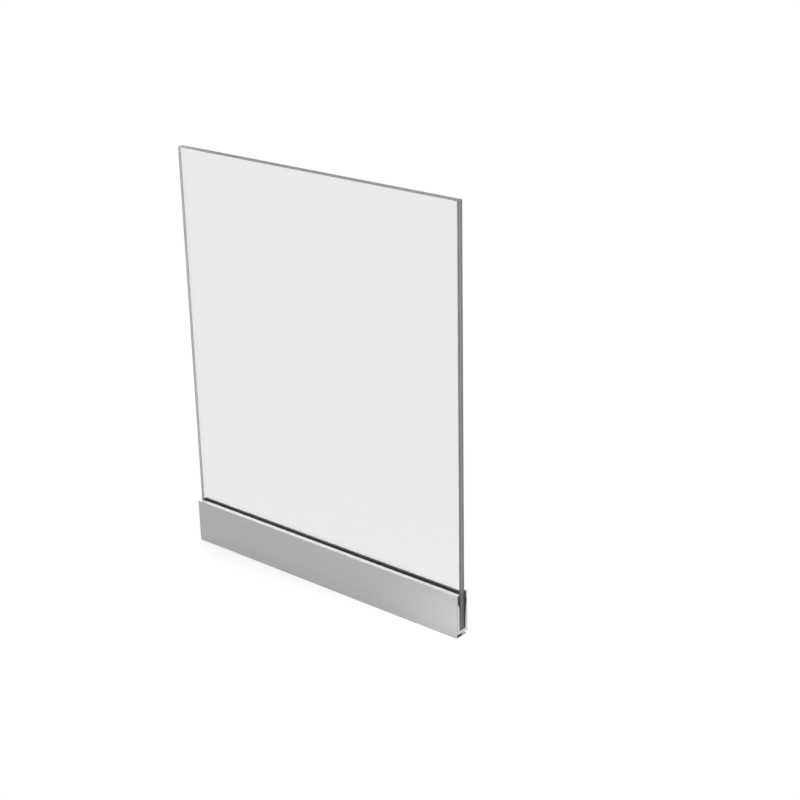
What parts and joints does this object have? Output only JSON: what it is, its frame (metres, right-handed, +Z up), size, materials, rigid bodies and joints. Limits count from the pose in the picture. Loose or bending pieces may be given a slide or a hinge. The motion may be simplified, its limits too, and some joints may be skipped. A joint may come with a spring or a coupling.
{
  "type": "glass balustrade panel",
  "caption": "Frameless guard panel for a floor edge: clear laminated glass clamped by wedges and gaskets in a side-fixed aluminium base channel with a clip-on cover.",
  "frame": {"origin": "middle of the panel's length, on the channel's fixing face, at floor level (the channel's top edge)", "axes": "+X along the panel, +Y out of the fixing face into the floor edge that carries it, +Z up along the glass"},
  "size_m": [1, 0.049, 1.232],
  "materials": {
    "anodised_aluminium": "satin",
    "clear_glass": "polished",
    "bonding_film": "gloss",
    "black_rubber": "matte",
    "block_plastic": "matte",
    "pad_plastic": "matte"
  },
  "bodies": {
    "root": {"base_channel": "anodised_aluminium", "front_cover": "anodised_aluminium", "outer_glass_ply": "clear_glass", "glass_interlayer": "bonding_film", "inner_glass_ply": "clear_glass", "outer_gasket": "black_rubber", "inner_gasket": "black_rubber", "setting_block_1": "block_plastic", "clamp_wedge_1": "block_plastic", "bearing_pad_1": "pad_plastic", "setting_block_2": "block_plastic", "clamp_wedge_2": "block_plastic", "bearing_pad_2": "pad_plastic", "setting_block_3": "block_plastic", "clamp_wedge_3": "block_plastic", "bearing_pad_3": "pad_plastic", "setting_block_4": "block_plastic", "clamp_wedge_4": "block_plastic", "bearing_pad_4": "pad_plastic", "setting_block_5": "block_plastic", "clamp_wedge_5": "block_plastic", "bearing_pad_5": "pad_plastic"}
  },
  "joints": []
}
